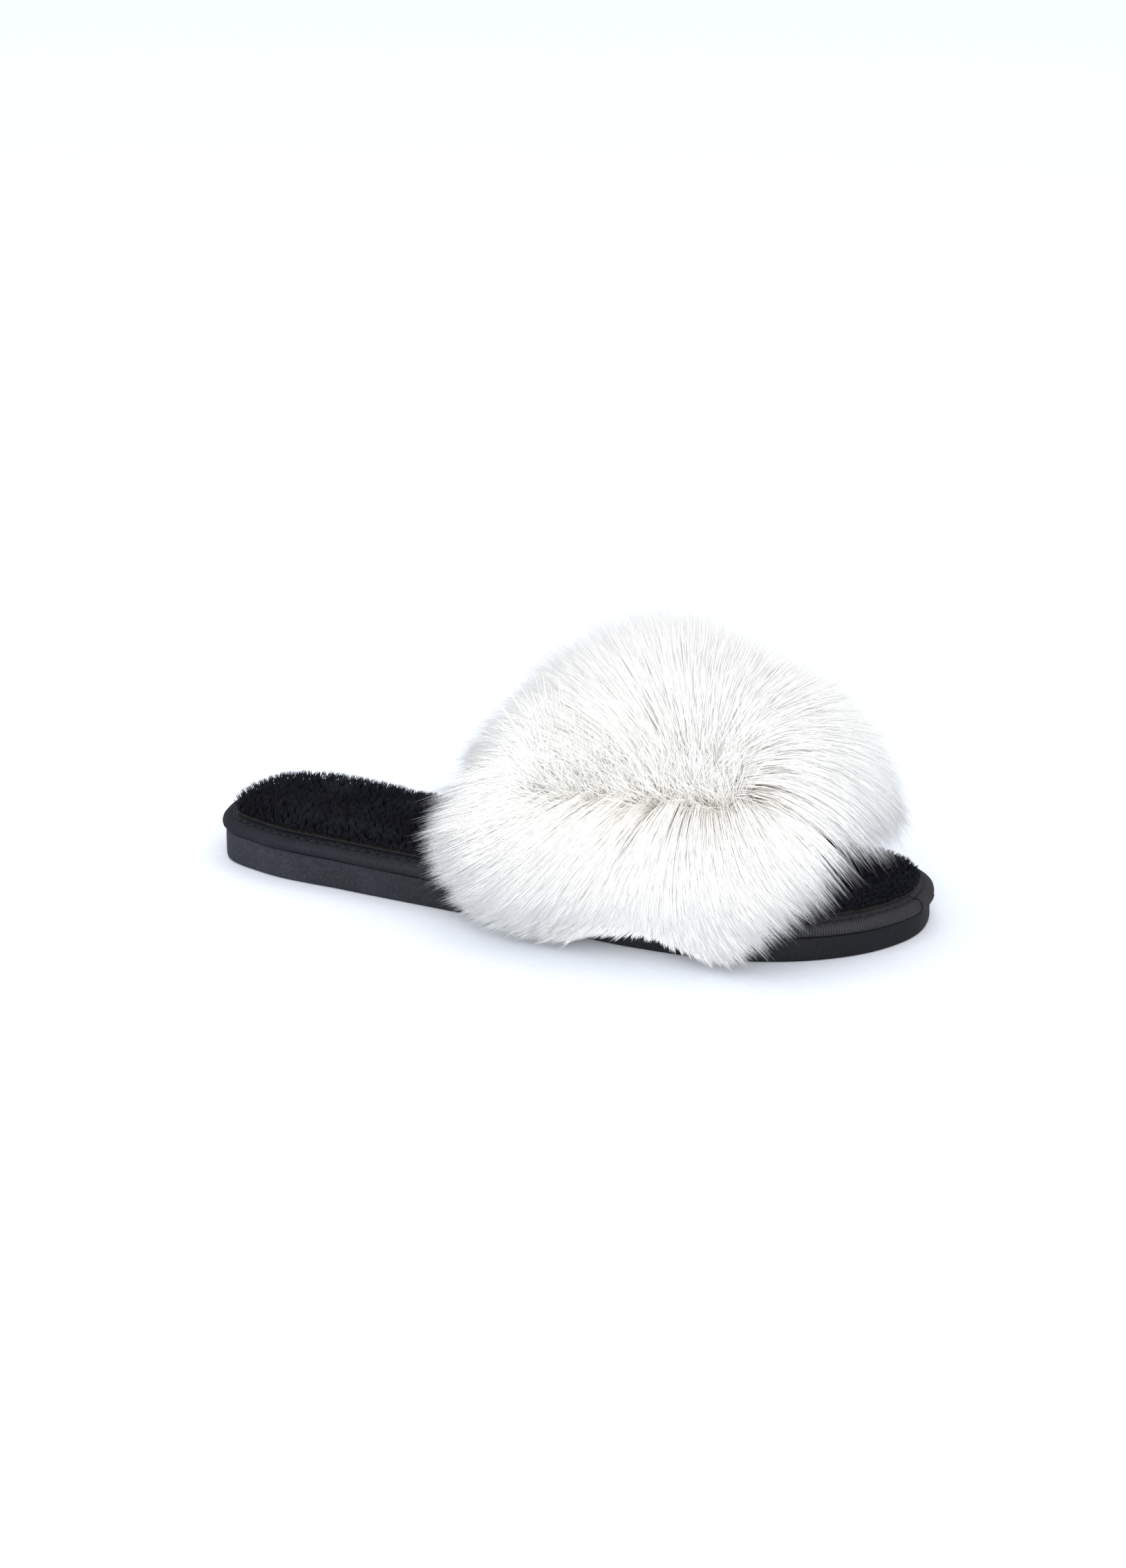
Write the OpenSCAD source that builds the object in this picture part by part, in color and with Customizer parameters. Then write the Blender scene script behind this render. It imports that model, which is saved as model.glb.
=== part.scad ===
// Fluffy house slipper, right foot: a flat foam sole, a plush insole bound
// with ribbed tape, and one broad strap of long-pile faux fur.
// +X runs from heel to toe, +Y towards the inner side of the foot, +Z up.
// The origin is on the ground under the middle of the sole's length.

/* [Sole] */
// Thickness of the outsole at the heel
heel_t = 11.3; // [9:0.1:16]
// Thickness of the outsole at the toe
toe_t = 8.3; // [7:0.1:10]
// How far the outsole's wall stands back from the bound edge
wall_back = 1.2; // [0.8:0.1:2]
// Depth of the tread grooves
tread_depth = 1.2; // [0.6:0.1:2]
// Distance from one tread groove to the next
tread_pitch = 8; // [6:0.5:12]
// Width of a tread groove
tread_w = 2.4; // [1.5:0.1:4]

/* [Insole] */
// Height of the bound edge above the outsole
bind_h = 5.0; // [4.5:0.1:5.2]
// Thickness of the insole board
board_t = 1.4; // [1:0.1:1.4]
// Top of the cushion foam above the outsole
foam_top = 5.9; // [5.5:0.1:6]
// Top of the plush pile above the outsole
plush_top = 9.6; // [9.3:0.1:11]

/* [Strap] */
// Height of the strap's lining above the ground at its rear edge
arch_rear = 57; // [54:1:62]
// Height of the strap's lining above the ground at its front edge
arch_front = 50; // [47:1:54]
// Thickness of the lining
lining_t = 0.9; // [0.6:0.1:0.9]
// Thickness of the foam interlining
strap_foam_t = 3.0; // [2:0.1:4]
// Thickness of the knitted backing of the fur
backing_t = 0.9; // [0.6:0.1:0.9]
// Length of the margin tucked under the insole board
margin = 14; // [10:1:16]

/* [Fur] */
// Height of the top of the pile above the ground
pile_top = 106; // [95:1:112]
// Length of the dome of pile from behind the strap to in front of it
pile_len = 176; // [150:2:180]
// Width of the dome of pile across the foot
pile_w = 148; // [130:2:160]

/* [Stitching] */
// Distance from one binding stitch to the next
bind_stitch_pitch = 4; // [3:0.5:8]
// Distance from one strap stitch to the next
strap_stitch_pitch = 5; // [4:0.5:10]

/* [Hidden] */
sole_len = 262;

seg = 6;
gap = 0.1;

// Outline of the bound edge, anticlockwise from the back of the heel
ctrl = [[-131, 1], [-125, -20], [-107, -29], [-71, -34], [-31, -38],
        [9, -42], [49, -46], [81, -44], [107, -32], [123, -15],
        [131, 10], [125, 32], [107, 45], [83, 48], [49, 44],
        [9, 34], [-31, 29], [-71, 30], [-103, 33], [-123, 26]];
nc = len(ctrl);

// Smooth closed curve through the control points
function tan_at(a, b, c) =
    let (p = norm(b - a), q = norm(c - b))
    (b - a) / p - (c - a) / (p + q) + (c - b) / q;
function curve(p, n) = [for (i = [0 : len(p) - 1], k = [0 : n - 1])
    let (m = len(p), t = k / n,
         p0 = p[(i + m - 1) % m], p1 = p[i], p2 = p[(i + 1) % m], p3 = p[(i + 2) % m],
         d = norm(p2 - p1), m1 = d * tan_at(p0, p1, p2), m2 = d * tan_at(p1, p2, p3))
    (2*t*t*t - 3*t*t + 1) * p1 + (t*t*t - 2*t*t + t) * m1
    + (3*t*t - 2*t*t*t) * p2 + (t*t*t - t*t) * m2];
edge = curve(ctrl, seg);
ne = len(edge);
nrm = [for (i = [0 : ne - 1])
    let (t = edge[(i + 1) % ne] - edge[(i + ne - 1) % ne]) [-t[1], t[0]] / norm(t)];
function inset(d) = [for (i = [0 : ne - 1]) edge[i] + d * nrm[i]];

// Half widths of the bound edge on the outer and the inner side
outer_side = [for (i = [6 : 10 * seg]) edge[i]];
inner_side = [for (i = [10 * seg : ne - 1]) edge[ne - 1 - (i - 10 * seg)]];
function y_out(x) = lookup(x, outer_side);
function y_in(x) = lookup(x, inner_side);

slope = atan((heel_t - toe_t) / sole_len);
mid_t = (heel_t + toe_t) / 2;
function top_z(x) = mid_t - tan(slope) * x;
module on_sole() translate([0, 0, mid_t]) rotate([0, slope, 0]) children();
module slab(d, z0, z1) translate([0, 0, z0]) linear_extrude(z1 - z0) polygon(inset(d));

// Path of the strap across the foot at one station: margin, corner, arch,
// corner, margin, as [y, z]
na = 24;
corner = 1.3;
edge_gap = 0.4;
function crown(x) = arch_rear + (arch_front - arch_rear) * (x - 8) / 73;
function sp(v, p) = sign(v) * pow(abs(v), p);
function path(x) =
    let (yo = y_out(x) - edge_gap, yi = y_in(x) + edge_gap, zt = top_z(x) + gap,
         yc = (yo + yi) / 2, w = (yi - yo) / 2, zb = zt + corner, h = crown(x) - zb)
    concat(
        [[yo + margin, zt], [yo + margin / 2, zt]],
        [for (a = [0 : 30 : 60]) [yo + corner - corner * sin(a), zb - corner * cos(a)]],
        [for (k = [0 : na]) let (a = 180 * k / na)
            [yc - w * sp(cos(a), 0.88) + 4 * pow(sin(a), 2), zb + h * sp(sin(a), 0.88)]],
        [for (a = [60 : -30 : 0]) [yi - corner + corner * sin(a), zb - corner * cos(a)]],
        [[yi - margin / 2, zt], [yi - margin, zt]]);
np = na + 1 + 10;
first = 5;              // first point of the arch in the path
last = first + na;      // last point of the arch

// Rear and front edge of the strap along the path, s from 0 (outer) to 1
function x_rear(s) = -7 - 3 * s + 17 * sin(180 * s);
function x_front(s) = 72 + 10 * s + 2 * sin(180 * s);
nu = 8;
function x_at(u, s) = x_rear(s) + (x_front(s) - x_rear(s)) * u;
function out_n(p, i) =
    let (t = p[min(i + 1, len(p) - 1)] - p[max(i - 1, 0)]) [-t[1], t[0]] / norm(t);
function at(x, i, d) = let (p = path(x), q = p[i] + d * out_n(p, i)) [x, q[0], q[1]];

// Closed shell between two offsets of the path, over points i0 to i1
module shell(i0, i1, lo, hi, u0 = 0, u1 = 1) {
    m = i1 - i0 + 1;
    pts = concat(
        [for (u = [0 : nu], i = [i0 : i1])
            at(x_at(u0 + (u1 - u0) * u / nu, i / (np - 1)), i, lo[i])],
        [for (u = [0 : nu], i = [i0 : i1])
            at(x_at(u0 + (u1 - u0) * u / nu, i / (np - 1)), i, hi[i])]);
    b = (nu + 1) * m;
    function tri(a, b, c, d) = [[a, b, c], [a, c, d]];
    faces = concat(
        [for (u = [0 : nu - 1], i = [0 : m - 2])
            let (q = u * m + i) each tri(q, q + 1, q + m + 1, q + m)],
        [for (u = [0 : nu - 1], i = [0 : m - 2])
            let (q = b + u * m + i) each tri(q, q + m, q + m + 1, q + 1)],
        [for (i = [0 : m - 2]) each tri(i, b + i, b + i + 1, i + 1)],
        [for (i = [0 : m - 2]) let (q = nu * m + i) each tri(q, q + 1, b + q + 1, b + q)],
        [for (u = [0 : nu - 1]) let (q = u * m) each tri(q, q + m, b + q + m, b + q)],
        [for (u = [0 : nu - 1]) let (q = u * m + m - 1) each tri(q, b + q, b + q + m, q + m)]);
    polyhedron(pts, faces);
}

function ramp(i) = min(1, max(0, min(i - first, last - i) / 3));
foam_lo = [for (i = [0 : np - 1]) lining_t + gap];
foam_hi = [for (i = [0 : np - 1]) lining_t + gap + 0.3 + (strap_foam_t - 0.3) * ramp(i)];
back_lo = [for (i = [0 : np - 1]) (i >= first && i <= last) ? foam_hi[i] + gap : lining_t + gap];
back_hi = [for (i = [0 : np - 1]) back_lo[i] + backing_t];
stack = lining_t + strap_foam_t + backing_t + 3 * gap;
recess = lining_t + backing_t + gap + 0.15;
rec0 = -13;
rec1 = 85;

module outsole() color([0.13, 0.13, 0.14]) difference() {
    union() {
        slab(wall_back + 1.6, 0, 0.6);
        slab(wall_back + 0.8, 0.6, 1.3);
        slab(wall_back + 0.3, 1.3, 2.3);
        slab(wall_back, 2.3, heel_t + 1);
    }
    // sloping seat of the insole package
    on_sole() translate([-200, -100, 0]) cube([400, 200, 20]);
    // room for the strap's margins on both sides
    difference() {
        on_sole() translate([rec0, -60, -recess]) cube([rec1 - rec0, 120, 10]);
        on_sole() translate([0, 0, -recess - 1])
            linear_extrude(12) polygon(concat(
                [for (k = [0 : 10]) let (x = rec0 - 1 + (rec1 - rec0 + 2) * k / 10)
                    [x, y_out(x) + margin + 1]],
                [for (k = [10 : -1 : 0]) let (x = rec0 - 1 + (rec1 - rec0 + 2) * k / 10)
                    [x, y_in(x) - margin - 1]]));
    }
    // tread grooves under the heel and the ball
    intersection() {
        translate([0, 0, -1]) linear_extrude(tread_depth + 1) polygon(inset(9));
        for (x0 = [-116, 22], k = [0 : (x0 < 0 ? 8 : 11)])
            translate([x0 + k * tread_pitch, -60, -2]) cube([tread_w, 120, 10]);
    }
}

module insole_board() color([0.55, 0.42, 0.28]) on_sole() {
    slab(8.4, 0.2, 1.2);
    slab(2.8, 1.1, 1.1 + board_t);
}

module cushion_foam() color([0.9, 0.85, 0.6]) on_sole() {
    slab(3.2, 1.2 + board_t, 3.6);
    slab(7.3, 3.6, foam_top);
}

module insole_plush() color([0.04, 0.04, 0.045]) on_sole() {
    slab(7.0, foam_top + gap, 6.7);
    slab(6.0, 6.7, 7.2);
    slab(5.4, 7.2, plush_top - 1.2);
    slab(6.2, plush_top - 1.2, plush_top - 0.5);
    slab(8.0, plush_top - 0.5, plush_top);
}

// Section of the folded tape as [distance in from the edge, height]
tape = [[8.0, 0.2], [2.2, 0.2], [0.9, 0.6], [0.2, 1.5], [0, 2.5], [0.3, bind_h - 1.4],
        [1.1, bind_h - 0.4], [2.2, bind_h], [3.2, bind_h - 0.2], [3.9, bind_h - 0.5],
        [4.8, bind_h - 0.1], [6.2, bind_h + 0.8], [6.6, bind_h + 0.4], [5.2, bind_h - 0.7],
        [4.0, bind_h - 1.1], [2.4, bind_h - 0.8], [1.5, bind_h - 1.5], [0.9, 2.5],
        [1.4, 1.5], [2.4, 0.95], [8.0, 0.95]];
module edge_binding() color([0.12, 0.12, 0.13]) on_sole() {
    m = len(tape);
    pts = [for (i = [0 : ne - 1], q = tape)
        let (p = edge[i] + q[0] * nrm[i]) [p[0], p[1], q[1]]];
    polyhedron(pts, [for (i = [0 : ne - 1], j = [0 : m - 1])
        let (a = i * m, b = ((i + 1) % ne) * m, k = (j + 1) % m)
        each [[a + j, a + k, b + k], [a + j, b + k, b + j]]]);
}

// Length along the bound edge up to each of its points
groove = inset(3.9);
lens = [for (i = 0, s = 0; i <= ne; i = i + 1,
             s = s + (i <= ne ? norm(groove[i % ne] - groove[(i + ne - 1) % ne]) : 0)) s];
total = lens[ne];
function seek(s, i) = lens[i + 1] >= s ? i : seek(s, i + 1);
module binding_stitches() color([0.1, 0.1, 0.1]) on_sole() {
    n = floor(total / bind_stitch_pitch);
    for (k = [0 : n - 1]) {
        s = (k + 0.5) * total / n;
        i = seek(s, 0);
        f = (s - lens[i]) / (lens[i + 1] - lens[i]);
        a = groove[i];
        b = groove[(i + 1) % ne];
        p = a + f * (b - a);
        translate([p[0], p[1], bind_h - 0.18])
            rotate([0, 0, atan2(b[1] - a[1], b[0] - a[0])])
            cube([bind_stitch_pitch * 0.6, 0.4, 0.3], center = true);
    }
}

module strap_lining() color([0.88, 0.86, 0.82])
    shell(0, np - 1, [for (i = [0 : np - 1]) 0], [for (i = [0 : np - 1]) lining_t]);

module strap_foam() color([0.93, 0.9, 0.75])
    shell(first, last, foam_lo, foam_hi);

module fur_backing() color([0.92, 0.91, 0.88])
    shell(0, np - 1, back_lo, back_hi);

// Dome that the tips of the pile reach: its centre and half lengths
dome_c = [38, 2, 26];
dome_r = [pile_len / 2, pile_w / 2, pile_top - 26];
function scaled(v) = [v[0] / dome_r[0], v[1] / dome_r[1], v[2] / dome_r[2]];
function reach(r, d) =
    let (o = scaled(r - dome_c), e = scaled(d), a = e * e, b = o * e, c = o * o - 1)
    (-b + sqrt(max(0, b * b - a * c))) / a;

// Section of the pile as [across the strap, angle of the fibres]: across runs
// from 0 at the rear edge to 1 at the front edge, and the angle fans from
// straight back through straight out to straight forward
fan = [[0, -90], [0, -72], [0, -54], [0, -38], [0.15, -26], [0.32, -14], [0.5, 0],
       [0.68, 14], [0.85, 26], [1, 38], [1, 54], [1, 72], [1, 90]];
root = [1, 0.875, 0.75, 0.625, 0.5, 0.375, 0.25, 0.125, 0];
pile_gap = 0.35;

// The pile's roots follow the strap and then hang straight down to the ground
function pile_path(x) =
    let (p = path(x), a = p[first], b = p[last])
    concat([[a[0], 2], [a[0], (2 + a[1]) / 2]],
           [for (i = [first : last]) p[i]],
           [[b[0], (2 + b[1]) / 2], [b[0], 2]]);
function full(i, n) = lookup(min(i, n - 1 - i), [[0, 0.4], [1, 0.6], [2, 0.78], [4, 1]]);
module fur_pile() color([0.96, 0.96, 0.95]) {
    m = len(fan) + len(root);
    n = na + 5;
    pts = [for (i = [0 : n - 1], j = [0 : m - 1])
        let (s = (i + 3) / (np - 1),
             v = j < len(fan) ? fan[j][0] : root[j - len(fan)],
             x = x_at(v, s),
             p = pile_path(x),
             nn = out_n(p, i),
             o = p[i] + (stack + pile_gap) * nn,
             r = [x, o[0], o[1]],
             g = j < len(fan) ? fan[j][1] : 0,
             d = [sin(g), cos(g) * nn[0], cos(g) * nn[1]],
             q = j < len(fan) ? r + full(i, n) * reach(r, d) * d : r)
        [q[0], q[1], max(1.5, q[2])]];
    polyhedron(pts, concat(
        [for (i = [0 : n - 2], j = [0 : m - 1])
            let (a = i * m, b = (i + 1) * m, k = (j + 1) % m)
            each [[a + j, a + k, b + k], [a + j, b + k, b + j]]],
        [[for (j = [m - 1 : -1 : 0]) j]],
        [[for (j = [0 : m - 1]) (n - 1) * m + j]]));
}

module strap_edge_stitches() color([0.85, 0.83, 0.8]) {
    for (e = [0.035, 0.965], i = [first + 2 : last - 2], h = [0, 0.5]) {
        s = (i + h) / (np - 1);
        x = x_at(e, s);
        p = path(x);
        c = p[i] + h * (p[min(i + 1, np - 1)] - p[i]);
        t = p[i + 1] - p[i];
        nn = [-t[1], t[0]] / norm(t);
        q = c - 0.45 * nn;
        if (norm(t) > strap_stitch_pitch || h == 0)
            translate([x, q[0], q[1]]) rotate([atan2(t[1], t[0]), 0, 0])
                cube([0.5, 2.6, 0.3], center = true);
    }
}

outsole();
insole_board();
cushion_foam();
insole_plush();
edge_binding();
binding_stitches();
strap_lining();
strap_foam();
fur_backing();
fur_pile();
strap_edge_stitches();
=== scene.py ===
import math

import bmesh
import bpy
import numpy as np
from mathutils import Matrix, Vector
from mathutils.kdtree import KDTree


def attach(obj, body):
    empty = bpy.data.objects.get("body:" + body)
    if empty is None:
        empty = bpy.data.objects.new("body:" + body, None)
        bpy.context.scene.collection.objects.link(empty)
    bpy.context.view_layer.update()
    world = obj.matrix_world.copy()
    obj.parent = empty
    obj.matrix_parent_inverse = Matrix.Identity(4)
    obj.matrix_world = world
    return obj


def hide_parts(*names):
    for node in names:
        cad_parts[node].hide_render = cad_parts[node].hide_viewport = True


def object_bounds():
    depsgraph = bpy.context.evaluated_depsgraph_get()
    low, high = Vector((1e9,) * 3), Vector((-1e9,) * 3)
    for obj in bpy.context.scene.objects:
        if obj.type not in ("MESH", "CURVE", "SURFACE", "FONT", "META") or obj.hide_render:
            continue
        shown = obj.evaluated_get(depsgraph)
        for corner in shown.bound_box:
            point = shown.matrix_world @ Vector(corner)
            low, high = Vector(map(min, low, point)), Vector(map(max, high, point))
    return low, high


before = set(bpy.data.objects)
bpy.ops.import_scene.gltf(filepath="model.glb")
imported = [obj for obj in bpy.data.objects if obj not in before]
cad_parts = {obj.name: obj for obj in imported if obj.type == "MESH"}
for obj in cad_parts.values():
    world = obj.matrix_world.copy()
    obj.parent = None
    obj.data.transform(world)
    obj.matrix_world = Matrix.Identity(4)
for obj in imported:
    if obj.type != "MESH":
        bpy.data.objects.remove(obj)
CAD_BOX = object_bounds()

# ------------------------------------------------------------------ camera
cam_data = bpy.data.cameras.new("camera")
cam_data.lens = 111.046
cam_data.sensor_width = 36.0
cam_data.clip_start, cam_data.clip_end = 0.05, 60.0
cam = bpy.data.objects.new("camera", cam_data)
bpy.context.scene.collection.objects.link(cam)
AZ, EL = math.radians(24.133), math.radians(18.438)
back = Vector((math.sin(AZ) * math.cos(EL), -math.cos(AZ) * math.cos(EL), math.sin(EL)))
cam.rotation_mode = "QUATERNION"
cam.rotation_quaternion = (-back).to_track_quat("-Z", "Y")
cam.location = (0.6559, -1.4660, 0.5750)
bpy.context.scene.camera = cam

# ------------------------------------------------------- shape, in millimetres
CTRL = np.array([[-131, 1], [-125, -20], [-107, -29], [-71, -34], [-31, -38],
                 [9, -42], [49, -46], [81, -44], [107, -32], [123, -15],
                 [131, 10], [125, 32], [107, 45], [83, 48], [49, 44],
                 [9, 34], [-31, 29], [-71, 30], [-103, 33], [-123, 26]], float)
SLOPE = math.atan(3 / 262)
MID_T = 9.8


def tan_at(a, b, c):
    p, q = np.linalg.norm(b - a), np.linalg.norm(c - b)
    return (b - a) / p - (c - a) / (p + q) + (c - b) / q


def closed_curve(P, n):
    out, m = [], len(P)
    for i in range(m):
        p0, p1, p2, p3 = P[i - 1], P[i], P[(i + 1) % m], P[(i + 2) % m]
        d = np.linalg.norm(p2 - p1)
        m1, m2 = d * tan_at(p0, p1, p2), d * tan_at(p1, p2, p3)
        for k in range(n):
            t = k / n
            out.append((2 * t**3 - 3 * t * t + 1) * p1 + (t**3 - 2 * t * t + t) * m1
                       + (3 * t * t - 2 * t**3) * p2 + (t**3 - t * t) * m2)
    return np.array(out)


EDGE = closed_curve(CTRL, 24)
OUTER = EDGE[24:241]
INNER = EDGE[240:][::-1]


def y_out(x):
    return np.interp(x, OUTER[:, 0], OUTER[:, 1])


def y_in(x):
    return np.interp(x, INNER[:, 0], INNER[:, 1])


def top_z(x):
    return MID_T - math.tan(SLOPE) * np.asarray(x, float)


def on_sole(p):
    p = np.asarray(p, float)
    c, s = math.cos(SLOPE), math.sin(SLOPE)
    return np.stack([p[..., 0] * c + p[..., 2] * s, p[..., 1],
                     -p[..., 0] * s + p[..., 2] * c + MID_T], -1)


def ring(n, start=0.0):
    """n points evenly along the bound edge, their inward normals and the length."""
    closed = np.vstack([EDGE, EDGE[:1]])
    seg = np.linalg.norm(np.diff(closed, axis=0), axis=1)
    acc = np.r_[0, np.cumsum(seg)]
    s = (np.arange(n) / n * acc[-1] + start) % acc[-1]
    p = np.stack([np.interp(s, acc, closed[:, 0]), np.interp(s, acc, closed[:, 1])], 1)
    e = 1.2
    f = (s + e) % acc[-1]
    g = (s - e) % acc[-1]
    t = np.stack([np.interp(f, acc, closed[:, 0]) - np.interp(g, acc, closed[:, 0]),
                  np.interp(f, acc, closed[:, 1]) - np.interp(g, acc, closed[:, 1])], 1)
    t /= np.linalg.norm(t, axis=1)[:, None]
    return p, np.stack([-t[:, 1], t[:, 0]], 1), acc[-1], s


def inside(px, py, poly):
    hit = np.zeros(len(px), bool)
    x1, y1 = poly[:, 0], poly[:, 1]
    x2, y2 = np.roll(x1, -1), np.roll(y1, -1)
    for a, b, c, d in zip(x1, y1, x2, y2):
        if b == d:
            continue
        cross = ((b > py) != (d > py)) & (px < (c - a) * (py - b) / (d - b) + a)
        hit ^= cross
    return hit


# smooth value noise on points, seeded, no files
def noise3(p, scale, seed=0):
    q = np.asarray(p, float) / scale + seed * 17.31
    i = np.floor(q).astype(np.int64)
    f = q - i
    f = f * f * (3 - 2 * f)
    out = 0.0
    for dx in (0, 1):
        for dy in (0, 1):
            for dz in (0, 1):
                a, b, c = i[..., 0] + dx, i[..., 1] + dy, i[..., 2] + dz
                h = (a * 374761393 + b * 668265263 + c * 2147483647 + seed * 974711) & 0x7FFFFFFF
                h = ((h ^ (h >> 13)) * 1274126177) & 0x7FFFFFFF
                h = (h ^ (h >> 16)) & 0xFFFFF
                v = h / 0xFFFFF * 2 - 1
                w = ((f[..., 0] if dx else 1 - f[..., 0]) * (f[..., 1] if dy else 1 - f[..., 1])
                     * (f[..., 2] if dz else 1 - f[..., 2]))
                out = out + v * w
    return out


def unit(v):
    return v / np.maximum(np.linalg.norm(v, axis=-1, keepdims=True), 1e-9)


# ------------------------------------------------------------- mesh building
def build(name, verts, faces, mats, mat_index=None, smooth=True, uv=None, sharp=None):
    """A mesh object from points in millimetres and a list of face arrays."""
    me = bpy.data.meshes.new(name)
    v = np.asarray(verts, np.float32).reshape(-1, 3) * 0.001
    faces = [np.asarray(f, np.int32) for f in faces if len(f)]
    loops = np.concatenate([f.ravel() for f in faces])
    sizes = np.concatenate([np.full(len(f), f.shape[1], np.int32) for f in faces])
    starts = np.r_[0, np.cumsum(sizes)[:-1]].astype(np.int32)
    me.vertices.add(len(v))
    me.vertices.foreach_set("co", v.ravel())
    me.loops.add(len(loops))
    me.loops.foreach_set("vertex_index", loops)
    me.polygons.add(len(sizes))
    me.polygons.foreach_set("loop_start", starts)
    if mat_index is not None:
        me.polygons.foreach_set("material_index", np.asarray(mat_index, np.int32))
    me.polygons.foreach_set("use_smooth", np.full(len(sizes), bool(smooth)))
    me.update(calc_edges=True)
    if uv is not None:
        layer = me.uv_layers.new(name="OFBake")
        layer.data.foreach_set("uv", np.asarray(uv, np.float32).ravel())
    me.validate()
    for m in mats:
        me.materials.append(m)
    ob = bpy.data.objects.new(name, me)
    bpy.context.scene.collection.objects.link(ob)
    if sharp is not None:
        sharpen(ob, sharp)
    return ob


def sharpen(ob, degrees):
    bm = bmesh.new()
    bm.from_mesh(ob.data)
    bmesh.ops.recalc_face_normals(bm, faces=bm.faces)
    for e in bm.edges:
        e.smooth = not (len(e.link_faces) == 2 and e.calc_face_angle(0) > math.radians(degrees))
    bm.to_mesh(ob.data)
    bm.free()


def grid_faces(nu, nv, close_u=False, close_v=False, flip=False, base=0):
    """Quads of a grid whose point (i, j) is i * nv + j."""
    i = np.arange(nu if close_u else nu - 1)
    j = np.arange(nv if close_v else nv - 1)
    I, J = np.meshgrid(i, j, indexing="ij")
    I2, J2 = (I + 1) % nu, (J + 1) % nv
    q = np.stack([I * nv + J, I2 * nv + J, I2 * nv + J2, I * nv + J2], -1).reshape(-1, 4)
    if flip:
        q = q[:, ::-1]
    return q + base


def ring_solid(name, rows, mats, n=720, cap_lo=True, cap_hi=True, sharp=30):
    """A closed solid from rings of the sole's outline: rows hold (inset, z) or (inset, z, sloped)."""
    p, nn, _, _ = ring(n)
    V = []
    for d, z, sloped in rows:
        q = p + d * nn
        if sloped:
            V.append(on_sole(np.c_[q, np.full(n, z)]))
        else:
            V.append(np.c_[q, np.full(n, z)])
    V = np.array(V)
    m = len(V)
    F = [grid_faces(m, n, close_v=True, flip=True)]
    caps = []
    if cap_lo:
        caps.append(np.arange(n)[::-1][None])
    if cap_hi:
        caps.append((np.arange(n) + (m - 1) * n)[None])
    return build(name, V.reshape(-1, 3), F + caps, mats, sharp=sharp)


def boolean(ob, cutter, op="DIFFERENCE"):
    mod = ob.modifiers.new("cut", "BOOLEAN")
    mod.operation, mod.object, mod.solver = op, cutter, "EXACT"
    bpy.context.view_layer.update()
    dg = bpy.context.evaluated_depsgraph_get()
    me = bpy.data.meshes.new_from_object(ob.evaluated_get(dg))
    mats = list(ob.data.materials)
    ob.modifiers.clear()
    ob.data = me
    me.materials.clear()
    for m in mats:
        me.materials.append(m)
    bpy.data.objects.remove(cutter)


# ------------------------------------------------------------------ materials
def srgb(r, g, b):
    def f(c):
        c /= 255
        return c / 12.92 if c <= 0.04045 else ((c + 0.055) / 1.055) ** 2.4
    return (f(r), f(g), f(b), 1.0)


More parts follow.
